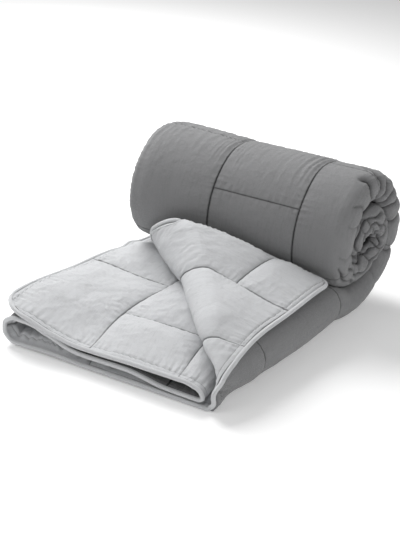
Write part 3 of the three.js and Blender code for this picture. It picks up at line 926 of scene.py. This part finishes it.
def makeCotton(name, colour, face=None):
    material = bpy.data.materials.new(name)
    material.use_nodes = True
    tree = material.node_tree
    shader = tree.nodes["Principled BSDF"]
    shader.inputs["Roughness"].default_value = cotton["roughness"]
    shader.inputs["Sheen Weight"].default_value = cotton["sheen"]
    shader.inputs["Sheen Roughness"].default_value = 0.5
    shader.inputs["Specular IOR Level"].default_value = 0.25
    flat = tree.nodes.new("ShaderNodeUVMap")
    flat.uv_map = "cloth"
    split = tree.nodes.new("ShaderNodeSeparateXYZ")
    tree.links.new(flat.outputs[0], split.inputs[0])
    u, v = split.outputs["X"], split.outputs["Y"]

    warp = mathNode(tree, "SINE", mathNode(tree, "MULTIPLY", u, fullTurn / cotton["thread"]))
    weft = mathNode(tree, "SINE", mathNode(tree, "MULTIPLY", v, fullTurn / cotton["thread"]))
    weave = mathNode(tree, "MULTIPLY", warp, weft)
    slubs = noiseNode(tree, mapped(tree, flat.outputs[0], (90, 700, 1)), 1.0, 3.0, 0.6)
    slubsAcross = noiseNode(tree, mapped(tree, flat.outputs[0], (700, 90, 1)), 1.0, 3.0, 0.6)
    grain = mathNode(tree, "ADD", slubs, slubsAcross)
    patches = noiseNode(tree, flat.outputs[0], 9.0, 3.0, 0.6)
    crumple = noiseNode(tree, flat.outputs[0], 60.0, 5.0, 0.65)

    tone = mathNode(tree, "MULTIPLY_ADD", grain, cotton["grain"], 1 - cotton["grain"])
    tone = mathNode(tree, "MULTIPLY", tone, mathNode(tree, "MULTIPLY_ADD", patches, 0.14, 0.93))
    streaks = noiseNode(tree, mapped(tree, flat.outputs[0], (16, 190, 1)), 1.0, 3.0, 0.6)
    streaked = mathNode(tree, "MULTIPLY_ADD", streaks, cotton["streaks"], 1 - 0.5 * cotton["streaks"])
    tone = mathNode(tree, "MULTIPLY", tone, streaked)
    # painted shade: the colour darkens in the roll's deep creases and where its turns lie on each other
    paintedShade = tree.nodes.new("ShaderNodeAttribute")
    paintedShade.attribute_name = "paintedShade"
    deep = mathNode(tree, "POWER", paintedShade.outputs["Fac"], 1.5)
    shaded = mathNode(tree, "MULTIPLY_ADD", deep, -cotton["paintedShadeStrength"], 1.0)
    tone = mathNode(tree, "MULTIPLY", tone, shaded)
    height = mathNode(tree, "MULTIPLY", weave, cotton["weaveDepth"])
    height = mathNode(tree, "MULTIPLY_ADD", grain, 0.0003, height)
    height = mathNode(tree, "MULTIPLY_ADD", streaks, 0.0007, height)
    height = mathNode(tree, "MULTIPLY_ADD", crumple, 0.0022, height)
    if face:
        # the sewn lines are darkened in the colour: the stitching's own thread plus painted shade in the sewn
        # grooves, also along the rim stitch
        channel = mathNode(tree, "FLOOR", mathNode(tree, "DIVIDE", v, cloth["channel"]))
        odd = mathNode(tree, "MODULO", channel, 2.0)
        along = mathNode(tree, "MULTIPLY_ADD", odd, -cloth["crossSeam"] / 2, u)
        toSeam = mathNode(tree, "PINGPONG", v, cloth["channel"] / 2)
        toCross = mathNode(tree, "PINGPONG", along, cloth["crossSeam"] / 2)
        onTail = mathNode(tree, "LESS_THAN", u, tailCloth)
        onTail = mathNode(tree, "MULTIPLY_ADD", onTail, cotton["tailCross"], 1.0)
        crossLine = mathNode(tree, "MULTIPLY", lineAt(tree, toCross, *cotton["crossSeam"][face]), onTail)
        line = mathNode(tree, "MAXIMUM", lineAt(tree, toSeam, *cotton["seam"][face]), crossLine)
        fromSide = mathNode(tree, "PINGPONG", v, cloth["width"] / 2)
        fromRim = mathNode(tree, "SUBTRACT", mathNode(tree, "MINIMUM", u, fromSide), cells["rimStitch"])
        rimLine = lineAt(tree, mathNode(tree, "ABSOLUTE", fromRim), *cotton["rimLine"])
        line = mathNode(tree, "MAXIMUM", line, rimLine)
        tone = mathNode(tree, "MULTIPLY", tone, mathNode(tree, "SUBTRACT", 1.0, line))
        wave = mathNode(tree, "MULTIPLY", mathNode(tree, "ADD", u, v), fullTurn / cotton["stitch"])
        raised = mathNode(tree, "MAXIMUM", mathNode(tree, "SINE", wave), 0.0)
        stitches = mathNode(tree, "MULTIPLY", raised, mathNode(tree, "POWER", line, 3.0))
        height = mathNode(tree, "MULTIPLY_ADD", stitches, 0.0004, height)

    shade = tree.nodes.new("ShaderNodeMix")
    shade.data_type = "RGBA"
    shade.blend_type = "MIX"
    shade.inputs["A"].default_value = (0, 0, 0, 1)
    shade.inputs["B"].default_value = (*colour, 1)
    tree.links.new(tone, shade.inputs["Factor"])
    tree.links.new(shade.outputs["Result"], shader.inputs["Base Color"])
    bump = tree.nodes.new("ShaderNodeBump")
    bump.inputs["Strength"].default_value = 1.0
    bump.inputs["Distance"].default_value = 1.0
    tree.links.new(height, bump.inputs["Height"])
    tree.links.new(bump.outputs["Normal"], shader.inputs["Normal"])
    return material


materials = {
    "dark": makeCotton("darkCotton", cotton["dark"], "dark"),
    "light": makeCotton("lightCotton", cotton["light"], "light"),
    "piping": makeCotton("pipingCotton", cotton["piping"]),
}

body = makeQuilt()
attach(body, "root")
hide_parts("quilt")

cord = makePiping()
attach(cord, "root")
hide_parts("piping")


# Floor, light and camera

studio = {
    "floor": (0.95, 0.95, 0.95),
    "floorGlow": 0.16,
    "world": 0.29,
    "key": 86,
    "front": 11,
    "side": 14,
    "lens": 71.86,  # on the long side of a 400 by 534 picture
    "azimuth": 24.27,
    "elevation": 26.57,
    "tilt": 4.74,
    "distance": 2.53,
    "target": (-0.34805, 0.52678, 0.0),
}


def makeFloor():
    bpy.ops.object.select_all(action="DESELECT")
    bpy.ops.mesh.primitive_plane_add(size=12, location=(0, 0, -0.0006))
    floor = bpy.context.object
    floor.name = "studio_floor"
    material = bpy.data.materials.new("studioFloor")
    material.use_nodes = True
    shader = material.node_tree.nodes["Principled BSDF"]
    shader.inputs["Base Color"].default_value = (*studio["floor"], 1)
    shader.inputs["Roughness"].default_value = 0.9
    shader.inputs["Emission Color"].default_value = (1, 1, 1, 1)
    shader.inputs["Emission Strength"].default_value = studio["floorGlow"]
    floor.data.materials.append(material)


def makeLight(name, location, size, energy):
    lamp = bpy.data.objects.new(name, bpy.data.lights.new(name, "AREA"))
    lamp.data.size = size
    lamp.data.energy = energy
    lamp.location = location
    lamp.rotation_euler = (Vector((0, 0, 0.1)) - Vector(location)).to_track_quat("-Z", "Y").to_euler()
    bpy.context.scene.collection.objects.link(lamp)


def makeCamera():
    a, e, r = (math.radians(studio[k]) for k in ("azimuth", "elevation", "tilt"))
    back = Vector((math.sin(a) * math.cos(e), -math.cos(a) * math.cos(e), math.sin(e)))
    right = Vector((math.cos(a), math.sin(a), 0))
    up = back.cross(right)
    tilted = right * math.cos(r) + up * math.sin(r)
    upright = -right * math.sin(r) + up * math.cos(r)
    camera = bpy.data.objects.new("camera", bpy.data.cameras.new("camera"))
    camera.data.lens = studio["lens"]
    turned = Matrix((tilted, upright, back)).transposed().to_4x4()
    spot = Vector(studio["target"]) + Vector(place) + back * studio["distance"]
    camera.matrix_world = Matrix.Translation(spot) @ turned
    bpy.context.scene.collection.objects.link(camera)
    bpy.context.scene.camera = camera


makeFloor()
makeLight("key", (-1.6, 0.9, 1.9), 1.7, studio["key"])
makeLight("front", (-1.0, -1.9, 1.9), 1.2, studio["front"])
makeLight("side", (2.0, -0.6, 1.5), 1.5, studio["side"])
world = bpy.data.worlds.new("studio")
world.use_nodes = True
world.node_tree.nodes["Background"].inputs["Color"].default_value = (1, 1, 1, 1)
world.node_tree.nodes["Background"].inputs["Strength"].default_value = studio["world"]
bpy.context.scene.world = world
bpy.context.scene.view_settings.view_transform = "Standard"
makeCamera()
print("studio ready")
